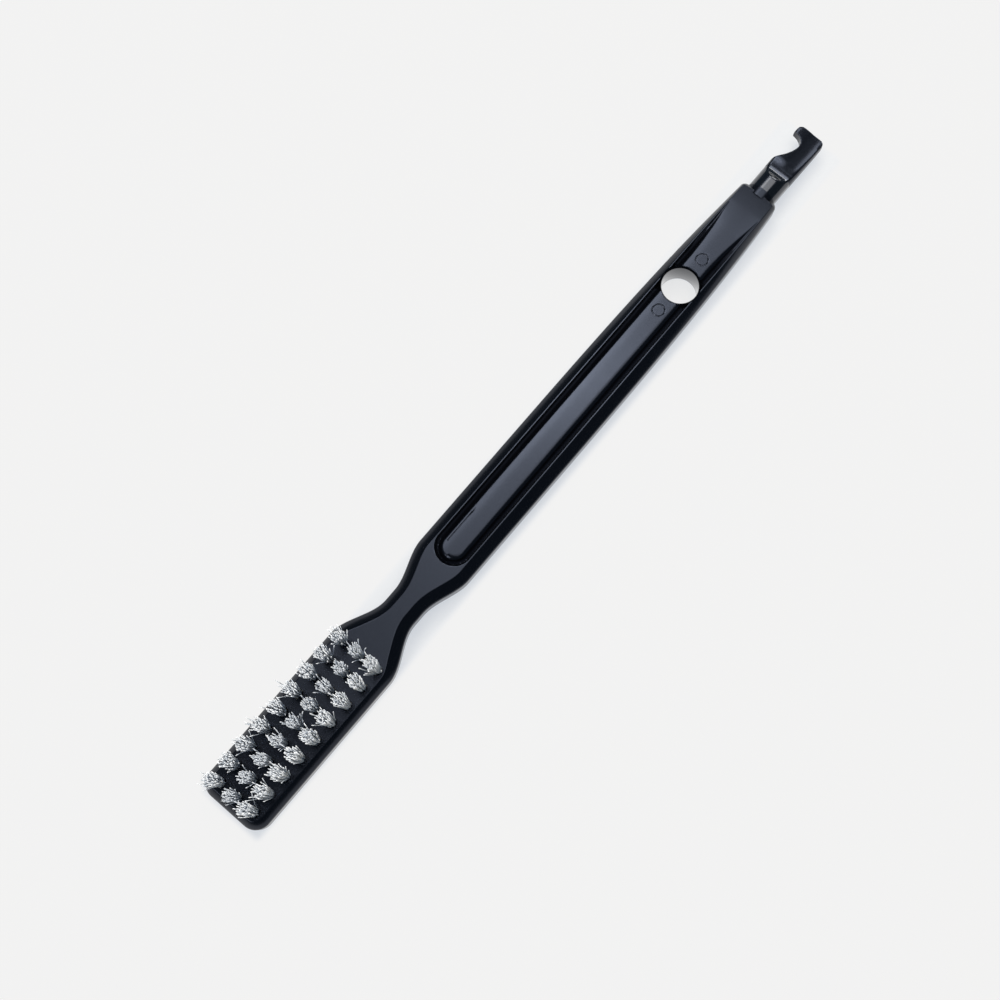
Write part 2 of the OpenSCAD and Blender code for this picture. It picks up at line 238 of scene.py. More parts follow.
class Wire:
    """A shader socket's output, on which arithmetic adds Math nodes."""

    def __init__(self, sheet: "Sheet", socket: bpy.types.NodeSocket) -> None:
        """Keeps the sheet and the socket that the value comes out of."""
        self.sheet, self.socket = sheet, socket

    def _math(self, operation: str, a: Any, b: Any) -> "Wire":
        """Adds one Math node."""
        return self.sheet.node("ShaderNodeMath", {"operation": operation}, {0: a, 1: b})

    def __add__(self, other: Any) -> "Wire":
        """Sum."""
        return self._math("ADD", self, other)

    def __sub__(self, other: Any) -> "Wire":
        """Difference."""
        return self._math("SUBTRACT", self, other)

    def __rsub__(self, other: Any) -> "Wire":
        """Difference from a number."""
        return self._math("SUBTRACT", other, self)

    def __mul__(self, other: Any) -> "Wire":
        """Product."""
        return self._math("MULTIPLY", self, other)

    def __truediv__(self, other: Any) -> "Wire":
        """Quotient."""
        return self._math("DIVIDE", self, other)

    def __gt__(self, other: Any) -> "Wire":
        """1 where this is larger, otherwise 0."""
        return self._math("GREATER_THAN", self, other)

    def math(self, operation: str, other: Any = 0.0) -> "Wire":
        """Adds any other Math node, such as ABSOLUTE, MAXIMUM or SQRT."""
        return self._math(operation, self, other)

    def clamp(self) -> "Wire":
        """This value, held between 0 and 1."""
        return self.sheet.node("ShaderNodeClamp", {}, {"Value": self})

    __radd__ = __add__
    __rmul__ = __mul__


class Sheet:
    """The nodes of one material or of the world."""

    def __init__(self, owner: Any) -> None:
        """Empties the owner's node tree.

        Args:
            owner: a material or a world.
        """
        owner.use_nodes = True
        self.tree = owner.node_tree
        self.tree.nodes.clear()

    def node(self, kind: str, settings: dict[str, Any], inputs: dict[Any, Any],
             output: Any = 0) -> Wire:
        """Adds one node.

        Args:
            kind: the node's type.
            settings: the node's own settings, set first.
            inputs: a value or a Wire for each socket, by name or number.
            output: name or number of the output that is returned.

        Returns:
            The chosen output.
        """
        made = self.tree.nodes.new(kind)
        for key, value in settings.items():
            setattr(made, key, value)
        for key, value in inputs.items():
            if isinstance(value, Wire):
                self.tree.links.new(value.socket, made.inputs[key])
            else:
                made.inputs[key].default_value = value
        return Wire(self, made.outputs[output] if made.outputs else None)

    def place(self) -> Wire:
        """Object coordinates, in metres."""
        return self.node("ShaderNodeTexCoord", {}, {}, "Object")

    def axes(self, vector: Wire) -> tuple[Wire, Wire]:
        """The x and the y of a vector."""
        x = self.node("ShaderNodeSeparateXYZ", {}, {0: vector})
        return x, Wire(self, x.socket.node.outputs["Y"])

    def disc(self, x: Wire, y: Wire, circle: Pair) -> Wire:
        """1 inside a circle, given as its centre's x and its radius, otherwise 0."""
        off = x - circle[0]
        return 1.0 - ((off * off + y * y).math("SQRT") > circle[1])

    def rays(self, *kinds: str) -> Wire:
        """1 for the named kinds of ray, otherwise 0."""
        return sum(self.node("ShaderNodeLightPath", {}, {}, kind) for kind in kinds).clamp()

    def stretched(self, vector: Wire, scale: Triple) -> Wire:
        """Coordinates scaled along each axis."""
        return self.node("ShaderNodeMapping", {}, {"Vector": vector, "Scale": scale})

    def noise(self, vector: Wire, scale: float, detail: float = 2.0,
              roughness: float = 0.5) -> Wire:
        """Noise about 0.5 at a number of cycles per metre."""
        return self.node("ShaderNodeTexNoise", {}, {
            "Vector": vector, "Scale": scale, "Detail": detail, "Roughness": roughness})

    def blend(self, factor: Wire, a: Any, b: Any) -> Wire:
        """Colour a at factor 0 and b at factor 1."""
        return self.node("ShaderNodeMix", {"data_type": "RGBA"}, {0: factor, 6: a, 7: b}, 2)

    def bump(self, height: Wire, distance: float, below: Wire | None = None) -> Wire:
        """Adds one Bump node.

        Args:
            height: height from 0 to 1.
            distance: what a height of 1 stands for, in metres.
            below: normal of the coarser relief that this one lies on.

        Returns:
            The normal.
        """
        inputs = {"Height": height, "Distance": distance, "Strength": 1.0}
        if below is not None:
            inputs["Normal"] = below
        return self.node("ShaderNodeBump", {}, inputs)

    def finish(self, shader: Wire, kind: str = "ShaderNodeOutputMaterial") -> None:
        """Links the last shader to the output."""
        self.node(kind, {}, {"Surface": shader})


def grey(value: float) -> Colour:
    """An opaque grey."""
    return (value, value, value, 1.0)


@dataclass(frozen=True)
class MouldedPlastic:
    """Black injection moulding: satin gloss whose reflections carry a painted cool tint, flow
    marks, hair scratches and a fine orange peel.

    Scales are in cycles per metre, and heights and places in metres. The rod is given as the
    first and last x of its bare stretch, and the bore as its centre's x and its radius.
    """

    colour: Colour = (0.0016, 0.0018, 0.0026, 1.0)
    worn: Colour = (0.0032, 0.0035, 0.0048, 1.0)
    worn_from: float = 0.3
    # Painted reflection colour: a cool tint on the specular reflection that stands in for cool room
    # light.
    painted_reflection_tint: Colour = (0.65, 0.745, 1.0, 1.0)
    specular: float = 0.4
    roughness: float = 0.2
    roughness_swing: float = 0.12
    flow_scale: float = 55.0
    flow_stretch: Triple = (0.35, 1.6, 1.0)
    flow_share: float = 0.6
    flow_height: float = 0.00002
    cloud_scale: float = 260.0
    peel_scale: float = 900.0
    peel_height: float = 0.000004
    scratch_scale: float = 420.0
    scratch_stretch: Triple = (0.06, 1.0, 1.0)
    scratch_from: float = 0.62
    scratch_gain: float = 9.0
    scratch_dulling: float = 0.05
    rod: Pair = (0.0887, 0.0950)
    bore: Pair = (0.0557, 0.00466)
    gloss: float = 1.0

    def material(self) -> bpy.types.Material:
        """Builds the material.

        Returns:
            The material, which has a gloss coat on the bare shank and in the hanging hole.
        """
        material = bpy.data.materials.new("moulded_plastic")
        sheet = Sheet(material)
        place = sheet.place()
        flow = sheet.noise(sheet.stretched(place, self.flow_stretch), self.flow_scale, 4.0, 0.6)
        scratch = sheet.noise(sheet.stretched(place, self.scratch_stretch), self.scratch_scale,
                              3.0, 0.7)
        hairs = ((scratch - self.scratch_from) * self.scratch_gain).clamp()
        cloud = sheet.noise(place, self.cloud_scale, 3.0, 0.55)
        tone = flow * self.flow_share + cloud * (1.0 - self.flow_share)
        colour = sheet.blend((tone - self.worn_from).clamp(), self.colour, self.worn)
        swing = (tone - 0.5) * self.roughness_swing
        rough = self.roughness + swing + hairs * self.scratch_dulling
        peel = sheet.bump(sheet.noise(place, self.peel_scale), self.peel_height)
        x, y = sheet.axes(place)
        on_rod = (x > self.rod[0]) * (1.0 - (x > self.rod[1]))
        in_bore = sheet.disc(x, y, self.bore)
        # The specular tint paints a cool colour into every reflection.
        sheet.finish(sheet.node("ShaderNodeBsdfPrincipled", {}, {
            "Base Color": colour, "Roughness": rough,
            "Normal": sheet.bump(flow, self.flow_height, peel),
            "Coat Weight": (on_rod + in_bore) * self.gloss,
            "Specular IOR Level": self.specular, "Specular Tint": self.painted_reflection_tint}))
        return material


@dataclass(frozen=True)
class NylonFilament:
    """Pale translucent nylon, duller at the cut tips, greyer down the sides. Towards the tips it
    whitens, partly for the frosted cut ends and partly as a painted highlight with a painted glow,
    and towards the roots a painted shade darkens it.
    """

    # Painted shade: root is the darker, bluer colour painted near the roots, where the tuft shades
    # itself.
    root: Colour = (0.54, 0.61, 0.70, 1.0)
    side: Colour = (0.76, 0.81, 0.88, 1.0)
    pale: Colour = (0.98, 0.99, 1.0, 1.0)
    # tip, end_from and end_gain whiten the last stretch: partly the frosted cut ends, partly a
    # painted highlight on the lit tops.
    tip: Colour = (1.0, 1.0, 1.0, 1.0)
    through: float = 0.25
    # Painted glow: strength of an emission that makes the tips shine, though they are no lamp.
    painted_tip_glow: float = 0.28
    root_shade_fade_from: float = 0.15
    root_shade_fade_gain: float = 1.7
    end_from: float = 0.84
    end_gain: float = 7.0
    roughness: float = 0.3
    end_dulling: float = 0.3
    fleck_scale: float = 2600.0
    fleck_share: float = 0.2
    fleck_dulling: float = 0.15
    fleck_height: float = 0.000006

    def material(self) -> bpy.types.Material:
        """Builds the material from each filament's own shade and its rise from root to tip.

        Returns:
            The material.
        """
        material = bpy.data.materials.new("nylon_filament")
        sheet = Sheet(material)
        shade = sheet.node("ShaderNodeAttribute", {"attribute_name": "shade"}, {}, "Fac")
        rise = sheet.node("ShaderNodeAttribute", {"attribute_name": "rise"}, {}, "Fac")
        fleck = sheet.noise(sheet.place(), self.fleck_scale, 2.0, 0.6)
        tone = shade * (1.0 - self.fleck_share) + fleck * self.fleck_share
        own = sheet.blend(tone.clamp(), self.side, self.pale)
        # Painted shade: the colour darkens from each filament's own tone to root towards the foot.
        body = sheet.blend(((rise - self.root_shade_fade_from) * self.root_shade_fade_gain).clamp(), self.root, own)
        # Towards the tips the colour whitens to tip: partly the frosted cut ends, partly a painted
        # highlight.
        end = ((rise - self.end_from) * self.end_gain).clamp()
        colour = sheet.blend(end * (shade * 0.5 + 0.5), body, self.tip)
        dull = self.roughness + end * self.end_dulling + (fleck - 0.5) * self.fleck_dulling
        # The emission at the tips is a painted glow that whitens the cut ends.
        solid = sheet.node("ShaderNodeBsdfPrincipled", {}, {
            "Base Color": colour, "Roughness": dull,
            "Emission Color": sheet.blend(end * shade, grey(0.0), self.tip),
            "Emission Strength": self.painted_tip_glow, "Normal": sheet.bump(fleck, self.fleck_height)})
        through = sheet.node("ShaderNodeBsdfTranslucent", {}, {"Color": colour})
        sheet.finish(sheet.node("ShaderNodeMixShader", {}, {
            0: self.through, 1: solid, 2: through}))
        return material


@dataclass(frozen=True)
class DrawnWire:
    """Flat drawn wire with fine lines along it."""

    dark: Colour = (0.42, 0.40, 0.36, 1.0)
    light: Colour = (0.66, 0.64, 0.58, 1.0)
    roughness: float = 0.28
    roughness_swing: float = 0.2
    line_scale: float = 9000.0
    line_stretch: Triple = (0.05, 1.0, 1.0)
    line_height: float = 0.000003

    def material(self) -> bpy.types.Material:
        """Builds the material.

        Returns:
            The material.
        """
        material = bpy.data.materials.new("drawn_wire")
        sheet = Sheet(material)
        lines = sheet.noise(sheet.stretched(sheet.place(), self.line_stretch), self.line_scale,
                            3.0, 0.7)
        sheet.finish(sheet.node("ShaderNodeBsdfPrincipled", {}, {
            "Base Color": sheet.blend(lines, self.dark, self.light), "Metallic": 1.0,
            "Roughness": self.roughness + lines * self.roughness_swing,
            "Normal": sheet.bump(lines, self.line_height)}))
        return material


# The handle


@dataclass
class Handle:
    """The moulded handle, in millimetres from the head's free end, with z up from its back."""

    # Outline and section
    head_length: float = 46.0
    head_width: float = 18.4
    head_corner: float = 4.0
    head_bevel: float = 1.8
    waist_width: float = 8.9
    neck_in: float = 14.2
    waist_length: float = 3.3
    neck_out: float = 13.0
    grip_length: float = 121.9
    grip_width: float = 15.2
    tail_width: float = 10.4
    taper_length: float = 96.5
    taper_power: float = 3.4
    tail_corner: float = 1.7
    tail_bulge: float = 0.3
    height: float = 8.4
    side_draft: float = 0.12
    end_bevel: float = 1.5
    back_bevel: float = 1.2
    back_bevel_height: float = 1.6
    front_bevel_height: float = 2.1
    tail_bevel_height: float = 2.4
    tail_bevel_from: float = 26.0
    tail_bevel_run: float = 20.0
    neck_bevel_lead: float = 2.0
    neck_bevel_run: float = 8.0
    bevel_bulge: float = 0.16
    bulge_reach: float = 0.3
    edge_round: float = 0.4
    foot_round: float = 0.7
    back_round: float = 0.4
    crest_round: float = 0.13
    tail_crest_round: float = 0.06
    tail_roll: float = 0.5
    tail_roll_length: float = 15.0
    pole_margins: Pair = (1.0, 3.5)
    # Rims, groove and panel
    crest_width: float = 10.0
    tail_crest_width: float = 9.0
    crest_taper: float = 28.0
    rim: float = 0.25
    groove_depth: float = 1.7
    back_groove_depth: float = 1.4
    groove_power: float = 1.12
    groove_end: float = 6.9
    groove_runout: float = 1.35
    recess_offset: float = 3.7
    panel_half: float = 3.3
    panel_flare: float = 18.0
    flare_power: float = 1.25
    panel_lip: float = 0.12
    panel_round: float = 0.66
    low_fade: float = 2.2
    crown_radius: float = 22.0
    crown_drop: float = 0.05
    crown_full: float = 0.8
    # Hanging hole and marks
    hole_radius: float = 4.6
    hole_from_tail: float = 32.7
    hole_bevel: float = 0.4
    hole_mouth: tuple[Pair, ...] = ((0.0, 2.0), (0.1, 1.6), (0.6, 0.6), (1.0, 0.1), (2.0, -0.6))
    collar_round: float = 0.2
    collar_drop: float = 0.1
    ejector_radius: float = 1.55
    ejector_offset: float = 8.55
    ejector_margin: float = 1.8
    ejector_depth: float = 0.1
    ejector_line: float = 0.16
    slit_y: float = 2.2
    slit_length: float = 9.4
    slit_depth: float = 0.3
    slit_half: float = 0.05
    slit_wall: float = 0.14
    slit_end: float = 0.5
    # Shank and hook
    shank_radius: float = 4.1
    shank_length: float = 8.4
    blade_length: float = 13.0
    scoop_length: float = 4.0
    blade_top: float = 2.3
    blade_under: float = 1.7
    blade_tip: float = 2.0
    tip_rise: float = 0.35
    blade_corner: float = 1.9
    end_round: float = 0.3
    hook_point: float = 2.3
    hook_lip: float = 0.28
    throat_length: float = 9.5
    throat_back: float = 4.7
    throat_lip: float = 0.2
    throat_floor_share: float = 0.32
    throat_powers: Pair = (1.72, 2.3)
    edge_sharpness: float = 30.0
    section_reach: float = 4.0
    dish_radius: float = 11.0
    dish_low: float = -2.0
    dish_sides: Pair = (2.1, 2.5)
    dish_level: float = 2.0
    dish_sink: float = 0.12
    dish_start: float = 2.5
    # Tuft holes
    tuft_margin: float = 4.0
    tuft_columns: int = 9
    tuft_hole_radius: float = 1.25
    tuft_hole_depth: float = 5.6
    head_full: float = 50.4
    sharp_angle: float = 40.0
    finish: MouldedPlastic = field(default_factory=MouldedPlastic)

    def __post_init__(self) -> None:
        """Works out the stations that follow from the sizes."""
        self.waist_start = self.head_length + self.neck_in
        self.waist_end = self.waist_start + self.waist_length
        self.grip_start = self.waist_end + self.neck_out
        self.tail = self.grip_start + self.grip_length
        self.blade_start = self.tail + self.shank_length
        self.length = self.blade_start + self.blade_length
        self.axis_z = self.height / 2
        self.recess_centre = self.grip_start + self.recess_offset
        self.recess_radius = self.crest_width / 2 - self.rim
        self.hole_centre = self.tail - self.hole_from_tail
        self.collar_radius = self.hole_radius + self.hole_bevel
        self.groove_tip = self.tail - self.groove_end
        self.panel_end = self.groove_tip - self.panel_flare
        self.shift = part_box("handle")[0].x / MM

    def half_width(self, x: Array) -> Array:
        """Half the width at the widest level.

        Two smooth steps make the waist, and a power of the share of the last run makes the
        taper to the tail.

        Args:
            x: stations along the brush.

        Returns:
            Half the width at each station.
        """
        head, waist, grip, tail = (w / 2 for w in (self.head_width, self.waist_width,
                                                   self.grip_width, self.tail_width))
        narrow = (head - waist) * ease((x - self.head_length) / self.neck_in)
        widen = (grip - waist) * ease((x - self.waist_end) / self.neck_out)
        run = np.maximum(x - (self.tail - self.taper_length), 0.0) / self.taper_length
        return head - narrow + widen - (grip - tail) * run**self.taper_power

    def half_crest(self, x: Array) -> Array:
        """Half the distance across the rims' crests, which drops by a square towards the tail."""
        run = np.maximum(x - (self.tail - self.crest_taper), 0.0) / self.crest_taper
        return mix(self.crest_width, self.tail_crest_width, run * run) / 2

    def bevel(self, x: Array) -> Array:
        """Width of the front bevel, square to the outline.

        It widens from the head's to the grip's by a smooth step, and on the grip it fills the
        space from the outline to the crest.

        Args:
            x: stations along the brush.

        Returns:
            The width at each station.
        """
        share = ease((x - self.head_length + self.neck_bevel_lead) / self.neck_bevel_run)
        neck = mix(self.head_bevel, (self.grip_width - self.crest_width) / 2, share)
        return np.where(x < self.grip_start, neck, self.half_width(x) - self.half_crest(x))

    def panel_edge(self, x: Array) -> Array:
        """Half the width of the raised panel, which flares by a power to the groove's points."""
        share = np.clip((x - self.panel_end) / self.panel_flare, 0.0, 1.0) ** self.flare_power
        return mix(self.panel_half, self.half_crest(x) - self.rim - self.panel_lip, share)

    def outline(self) -> tuple[Array, Array, Array, Array]:
        """The +Y half of the outline at its widest level.

        The head's end and its corner arc come first, then stations along the side, then the tail's
        corner arc and its slightly bulging end.

        Returns:
            Points, inward unit normals, the front bevel's inward directions and its widths.
        """
        r, w = self.head_corner, self.head_width / 2
        y = np.linspace(0.0, w - r, 12, endpoint=False)
        end = np.stack([np.zeros_like(y), y], -1)
        a = np.linspace(0.0, np.pi / 2, 16, endpoint=False)
        corner = np.stack([r - r * np.cos(a), w - r + r * np.sin(a)], -1)
        # Stations are dense where the recess starts and where the ejector marks lie.
        pins = [self.hole_centre + side * self.ejector_offset + edge * self.ejector_margin
                for side in (-1, 1) for edge in (-1, 1)]
        x = spread([r, self.head_length - 2.0, self.grip_start - 3.0, self.recess_centre + 1.5,
                    92.0, *pins, self.tail - self.tail_corner],
                   [24, 34, 54, 12, 32, 32, 44, 32, 44])[:-1]
        step = 0.02
        slope = (self.half_width(x + step) - self.half_width(x - step)) / (2 * step)
        size = np.hypot(1.0, slope)
        side = np.stack([x, self.half_width(x)], -1)
        rt = self.tail_corner
        mid = self.tail - rt
        top = float(self.half_width(np.array(mid))) - rt
        b = np.linspace(0.0, np.pi / 2, 14)
        tail = np.stack([mid + rt * np.sin(b), top + rt * np.cos(b)], -1)
        side_bevel = float(self.half_width(np.array(mid)) - self.half_crest(np.array(mid)))
        inner = np.stack([mid + (rt - self.end_bevel) * np.sin(b),
                          top + (rt - side_bevel) * np.cos(b)], -1)
        turn = inner - tail
        turn_bevel = np.linalg.norm(turn, axis=1)
        u = np.linspace(0.0, 1.0, 12)[1:]
        last = np.stack([self.tail + self.tail_bulge * (1 - (1 - u) ** 2), top * (1 - u)], -1)
        points = np.concatenate([end, corner, side, tail, last])
        normals = np.concatenate([
            np.stack([np.ones_like(y), np.zeros_like(y)], -1),
            np.stack([np.cos(a), -np.sin(a)], -1),
            np.stack([slope / size, -1 / size], -1),
            np.stack([-np.sin(b), -np.cos(b)], -1),
            np.stack([-np.ones_like(u), np.zeros_like(u)], -1)])
        leans = normals.copy()
        leans[-len(b) - len(u):-len(u)] = turn / turn_bevel[:, None]
        bevels = np.concatenate([np.full(len(y) + len(a), self.head_bevel), self.bevel(x),
                                 turn_bevel, np.full(len(u), self.end_bevel)])
        return points, normals, leans, bevels

    def recess_depth(self, x: Array, y: Array) -> tuple[Array, Array, Array]:
        """Signed distances into the recess, off the panel and off the hole's collar.

        Round ends are distances from a centre, and straight runs are offsets from an edge curve.

        Args:
            x: stations along the brush.
            y: distances from the middle line.

        Returns:
            Distance inside the recess, outside the panel and outside the collar.
        """
        ay = np.abs(y)
        radial = np.hypot(x - self.recess_centre, ay)
        before = x < self.recess_centre
        inside = np.where(before, self.recess_radius - radial, self.half_crest(x) - self.rim - ay)
        off_panel = np.where(before, radial - self.panel_half, ay - self.panel_edge(x))
        off_collar = np.hypot(x - self.hole_centre, ay) - self.collar_radius
        return inside, off_panel, off_collar

    def groove_at(self, x: Array) -> Array:
        """Depth of the groove, which runs out to nothing at the groove's points.

        Args:
            x: stations along the brush.

        Returns:
            The depth at each station.
        """
        width = self.half_crest(x) - self.rim - self.panel_edge(x) - self.panel_lip
        runout = np.minimum(self.groove_depth, self.groove_runout * np.maximum(width, 0.0))
        return np.where(x < self.recess_centre, self.groove_depth, runout)

    def sink(self, inside: Array, off: Array) -> Array:
        """How far down the groove's rounded floor is, from 0 at a wall to 1 midway.

        The share is 1 - (1 - u)^p, where u is the distance to the nearer wall over half the width.

        Args:
            inside: distances inside the recess.
            off: distances outside the panel or the collar.

        Returns:
            The share at each point.
        """
        half = np.maximum((inside + off) / 2, 1e-6)
        u = np.clip(np.minimum(inside, off) / half, 0.0, 1.0)
        return 1 - (1 - u) ** self.groove_power

    def land(self, off: Array, top: Array, rounding: Array) -> Array:
        """Height of a raised land, rounded by a quarter circle, at an offset from its edge."""
        e = rounding - np.clip(-off, 0.0, rounding)
        return top - (rounding - np.sqrt(np.maximum(rounding**2 - e**2, 0.0)))

    def front(self, x: Array, y: Array) -> Array:
        """Height of the front: rims, a crowned panel, the hole's collar and a round groove.

        The crown falls by the square of the distance from the middle line. In the groove the
        height goes from the nearer wall's top to the floor by the groove's sunk share. The
        whole face falls by a square over its last stretch.

        Args:
            x: stations along the brush.
            y: distances from the middle line.

        Returns:
            The height at each point.
        """
        inside, off_panel, off_collar = self.recess_depth(x, y)
        depth = self.groove_at(x)
        share = (y / self.panel_edge(x)) ** 2
        crown = self.crown_drop + share * self.panel_half**2 / (2 * self.crown_radius)
        fade = np.where(y < 0.0, self.low_fade, 1.0)
        panel = self.land(off_panel / fade,
                          self.height - crown * np.minimum(depth / self.crown_full, 1.0),
                          np.minimum(self.panel_round, 0.5 * depth))
        collar = self.land(off_collar, np.full_like(x, self.height - self.collar_drop),
                           np.full_like(x, self.collar_round))
        shore = np.where(off_collar < off_panel, collar, panel)
        off = np.minimum(off_panel, off_collar)
        ledge = np.where(inside < off, self.height, shore)
        floor = np.minimum(self.height - depth, ledge)
        groove = ledge + (floor - ledge) * self.sink(inside, off)
        on_both = np.where(off_collar < 0.0, np.maximum(panel, collar), panel)
        lands = np.where(off_panel < 0.0, on_both, collar)
        z = np.where(inside <= 0.0, self.height, np.where(off <= 0.0, lands, groove))
        roll = np.clip((x - self.tail) / self.tail_roll_length + 1.0, 0.0, 1.0)
        return z - self.marks(x, y) - self.tail_roll * roll * roll

    def marks(self, x: Array, y: Array) -> Array:
        """Depth of the ejector pins' rings and of the fine slit, each a narrow smooth dip.

        Args:
            x: stations along the brush.
            y: distances from the middle line.

        Returns:
            The depth at each point.
        """
        depth = np.zeros_like(x)
        for side in (-1.0, 1.0):
            away = np.abs(np.hypot(x - self.hole_centre - side * self.ejector_offset, y)
                          - self.ejector_radius)
            depth += self.ejector_depth * (1 - ease(away / self.ejector_line))
        along = np.minimum(x - self.recess_centre, self.recess_centre + self.slit_length - x)
        beside = np.abs(y - self.slit_y) - self.slit_half
        return depth + (self.slit_depth * (1 - ease(beside / self.slit_wall))
                        * ease(along / self.slit_end))

    def back(self, x: Array, y: Array) -> Array:
        """Height of the back, whose groove is as wide as the front's and shallower.

        Args:
            x: stations along the brush.
            y: distances from the middle line.

        Returns:
            The height at each point.
        """
        inside, off_panel, off_collar = self.recess_depth(x, y)
        off = np.minimum(off_panel, off_collar)
        depth = self.groove_at(x) * self.back_groove_depth / self.groove_depth
        return np.where((inside > 0.0) & (off > 0.0), depth * self.sink(inside, off), 0.0)

    def face_columns(self, crest: Array, front: bool) -> Array:
        """Shares of the way from a crest to the middle line, dense at walls and panel edge.

        Args:
            crest: the rows' crest points.
            front: whether this is the front, whose panel has a broad rounded edge.

        Returns:
            One row of shares for each crest point, from 0 to 1.
        """
        x = crest[:, 0]
        c = np.where(x > self.grip_start - 3.0, self.half_crest(x), self.crest_width / 2)
        r, p = c - self.rim, np.minimum(self.panel_edge(x), c - self.rim - 0.1)
        # The last stretches hold the panel's rounded edge and the slit.
        marks = np.stack([c, r + 0.02, (r + p) / 2, p, p - 0.06, np.minimum(p, 3.0) - 0.55,
                          np.full_like(x, 1.95), 0 * x], -1)
        knots = 1 - np.minimum.accumulate(marks, 1) / c[:, None]
        steps = (2, 7, 6, 2, 5, 8, 16) if front else (1, 5, 5, 1, 1, 1, 5)
        shares = spread(np.arange(8.0), steps)
        k = np.minimum(shares.astype(int), 6)
        return knots[:, k] + (knots[:, k + 1] - knots[:, k]) * (shares - k)

    def corner_arc(self, before: Array, corner: Array, after: Array, reach: Any,
                   steps: int) -> Array:
        """Rounds a corner of a section by a quadratic curve between two tangent points.

        Args:
            before: section points ahead of the corner, as inset and height.
            corner: the corners.
            after: section points past the corner.
            reach: distance from the corner to each tangent point.
            steps: number of steps on the curve.

        Returns:
            Rows of inset and height along the curve.
        """
        def toward(target: Array) -> Array:
            """The tangent point on the way to a target."""
            way = target - corner
            return corner + way / np.linalg.norm(way, axis=1, keepdims=True) * reach

        u = np.linspace(0.0, 1.0, steps + 1)[None, :, None]
        a, b = toward(before)[:, None], toward(after)[:, None]
        return (1 - u) ** 2 * a + 2 * u * (1 - u) * corner[:, None] + u * u * b

    def body_points(self) -> Array:
        """Points of the body's skin.

        Each column moves the outline inwards by an inset at a height; past the two crests the rows
        run straight to the middle line and take their height from the front and back formulas.

        Returns:
            Rows round the outline, with columns from the back's middle to the front's.
        """
        points, normals, leans, bevels = self.outline()
        n = len(points)

        def at(inset: Any, z: Any) -> Array:
            """Section points at an inset and a height, one for each row."""
            columns = [np.broadcast_to(value, (n,)) for value in (inset, z)]
            return np.stack(columns, -1).astype(float)

        front_crest = points + bevels[:, None] * leans
        top_z = self.front(front_crest[:, 0], front_crest[:, 1])
        heel, foot = at(self.back_bevel, 0.0), at(self.side_draft, self.back_bevel_height)
        from_tail = points[:, 0] - self.tail
        bevel_height = mix(self.front_bevel_height, self.tail_bevel_height,
                           ease((from_tail + self.tail_bevel_from) / self.tail_bevel_run))
        edge, crest = at(0.0, self.height - bevel_height), at(bevels, top_z)
        crest_reach = np.where(from_tail < -self.tail_corner - 1.0, self.crest_round,
                               self.tail_crest_round)
        slope = crest - edge
        run = np.linalg.norm(slope, axis=1)
        outward = np.stack([-slope[:, 1], slope[:, 0]], -1) / run[:, None]
        swell = (edge + crest) / 2 + outward * self.bevel_bulge
        arcs = [self.corner_arc(at(self.back_bevel + 2, 0.0), heel, foot, self.back_round, 5),
                self.corner_arc(heel, foot, edge, self.foot_round, 4),
                self.corner_arc(foot, edge, swell, self.edge_round, 6),
                self.corner_arc(edge, swell, crest, self.bulge_reach * run[:, None], 7),
                self.corner_arc(swell, crest, at(bevels + 1, top_z), crest_reach[:, None], 5)]
        section = np.concatenate(arcs, 1)
        way = np.where(section[..., 1:] > edge[:, None, 1:], leans[:, None], normals[:, None])
        wall = np.concatenate([points[:, None] + section[..., :1] * way, section[..., 1:]], -1)
        low, high = self.grip_pole()

        def inwards(start: Array, front: bool) -> Array:
            """Places on the way from each row's last point to the middle line.

            Args:
                start: x and y of each row's last point, which isn't repeated.
                front: whether this is the front.

            Returns:
                x and y of each place.
            """
            target = np.stack([np.clip(start[:, 0], low, high), np.zeros(n)], -1)
            share = self.face_columns(start, front)[..., None]
            return mix(start[:, None, :2], target[:, None], share)[:, 1:]

        face = inwards(wall[:, -1, :2], True)
        rear = inwards(wall[:, 0, :2], False)[:, ::-1]

        def half(side: float) -> Array:
            """The half on one side of the middle line.

            Args:
                side: +1 or -1, the sign of y.

            Returns:
                Points, row by row.
            """
            rear_z = self.back(rear[..., 0], rear[..., 1] * side)
            face_z = self.front(face[..., 0], face[..., 1] * side)
            face_z[:, 0] = (wall[:, -1, 2] + face_z[:, 0]) / 2
            skin = np.concatenate([np.concatenate([rear, rear_z[..., None]], -1), wall,
                                   np.concatenate([face, face_z[..., None]], -1)], 1)
            return skin * np.array([1.0, side, 1.0])

        return np.concatenate([half(1.0), half(-1.0)[-2:0:-1]])

    def grip_pole(self) -> Pair:
        """Ends of the middle line, to which the rows of the head's and the tail's ends run."""
        return self.head_corner + self.pole_margins[0], self.tail - self.pole_margins[1]

